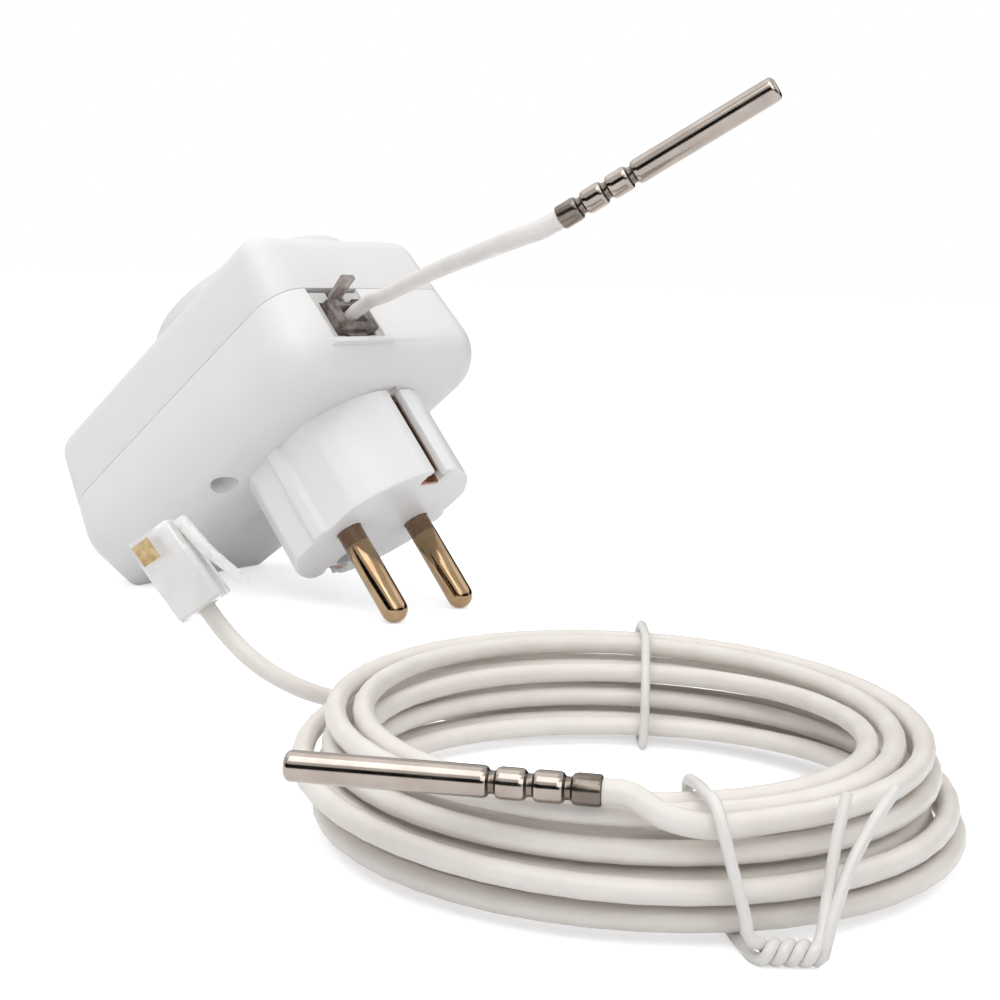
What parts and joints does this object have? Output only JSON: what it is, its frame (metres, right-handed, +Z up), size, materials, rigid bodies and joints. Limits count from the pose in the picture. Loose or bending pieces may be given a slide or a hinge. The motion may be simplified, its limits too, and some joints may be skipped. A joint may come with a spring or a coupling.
{
  "type": "plug-in temperature controller",
  "caption": "Plug-in temperature controller: housing with mains plug, through socket and probe jack, and two steel temperature probes on cables, one tied in a coil.",
  "frame": {"origin": "on the floor under the middle of the bounding box of the controller without its cables", "axes": "+X across the housing, the way the pins stand apart; +Y towards the foot edge of the housing; +Z up"},
  "size_m": [0.1545, 0.2042, 0.0861],
  "materials": {
    "housing_back": "satin",
    "housing_front": "satin",
    "plug_block": "satin",
    "pin": "polished with a dull band at the root",
    "earth_strip": "satin copper",
    "socket_plastic": "satin",
    "spring_steel": "plain",
    "contact_brass": "plain",
    "board": "satin",
    "relay": "gloss",
    "film": "gloss",
    "can": "sleeved",
    "fuse": "satin",
    "header": "plain",
    "digits": "gloss",
    "window": "gloss",
    "button": "satin",
    "switch": "plain",
    "chip": "matte",
    "jack": "satin",
    "gold": "polished gold",
    "screw": "plain",
    "smoke": "smoky translucent",
    "clear": "clear",
    "cable": "satin",
    "cable_white": "satin",
    "steel": "polished",
    "bead": "matte",
    "tie": "satin"
  },
  "bodies": {
    "controller": {"back_shell": "housing_back", "front_shell": "housing_front", "plug_block": "plug_block", "plug_pin_left": "pin", "plug_pin_right": "pin", "earth_strips": "earth_strip", "socket_cup": "socket_plastic", "socket_earth_clips": "spring_steel", "socket_contact_left": "contact_brass", "socket_contact_right": "contact_brass", "link_left": "spring_steel", "link_right": "spring_steel", "power_board": "board", "relay": "relay", "dropper_capacitor": "film", "smoothing_capacitor": "can", "fuse": "fuse", "board_header": "header", "display_board": "board", "led_display": "digits", "display_window": "window", "tact_switches": "switch", "controller_chip": "chip", "jack_housing": "jack", "jack_contacts": "gold", "case_screws": "screw", "long_plug_body": "clear", "long_plug_contacts": "gold", "long_cord_lead": "cable", "long_cord_coil": "cable", "long_cord_tail": "cable", "long_probe_sleeve": "steel", "long_probe_bead": "bead", "coil_tie_back": "tie", "coil_tie_front": "tie"},
    "short_sensor": {"short_plug_body": "smoke", "short_plug_contacts": "gold", "short_cord": "cable_white", "short_probe_sleeve": "steel", "short_probe_bead": "bead"},
    "short_latch": {"short_plug_latch": "smoke"},
    "long_latch": {"long_plug_latch": "clear"},
    "set_button": {"button_set": "button"},
    "down_button": {"button_down": "button"},
    "up_button": {"button_up": "button"}
  },
  "joints": [
    {"name": "short_plug_slide", "type": "slide", "parent": "controller", "child": "short_sensor", "axis": [0, -0.7656, 0.6433], "range_m": [0, 0.02]},
    {"name": "short_latch_hinge", "type": "hinge", "parent": "short_sensor", "child": "short_latch", "pos_m": [-0.0104, -0.01395, 0.04794], "axis": [1, 0, 0], "range_deg": [0, 5], "stiffness_Nm_per_rad": 0.02},
    {"name": "long_latch_hinge", "type": "hinge", "parent": "controller", "child": "long_latch", "pos_m": [-0.08316, -0.05752, 0.02745], "axis": [0.8129, 0.5671, -0.1323], "range_deg": [0, 6], "stiffness_Nm_per_rad": 0.02},
    {"name": "set_button_travel", "type": "slide", "parent": "controller", "child": "set_button", "axis": [0, -0.6433, -0.7656], "range_m": [0, 0.0004], "stiffness_N_per_m": 300},
    {"name": "down_button_travel", "type": "slide", "parent": "controller", "child": "down_button", "axis": [0, -0.6433, -0.7656], "range_m": [0, 0.0004], "stiffness_N_per_m": 300},
    {"name": "up_button_travel", "type": "slide", "parent": "controller", "child": "up_button", "axis": [0, -0.6433, -0.7656], "range_m": [0, 0.0004], "stiffness_N_per_m": 300}
  ]
}
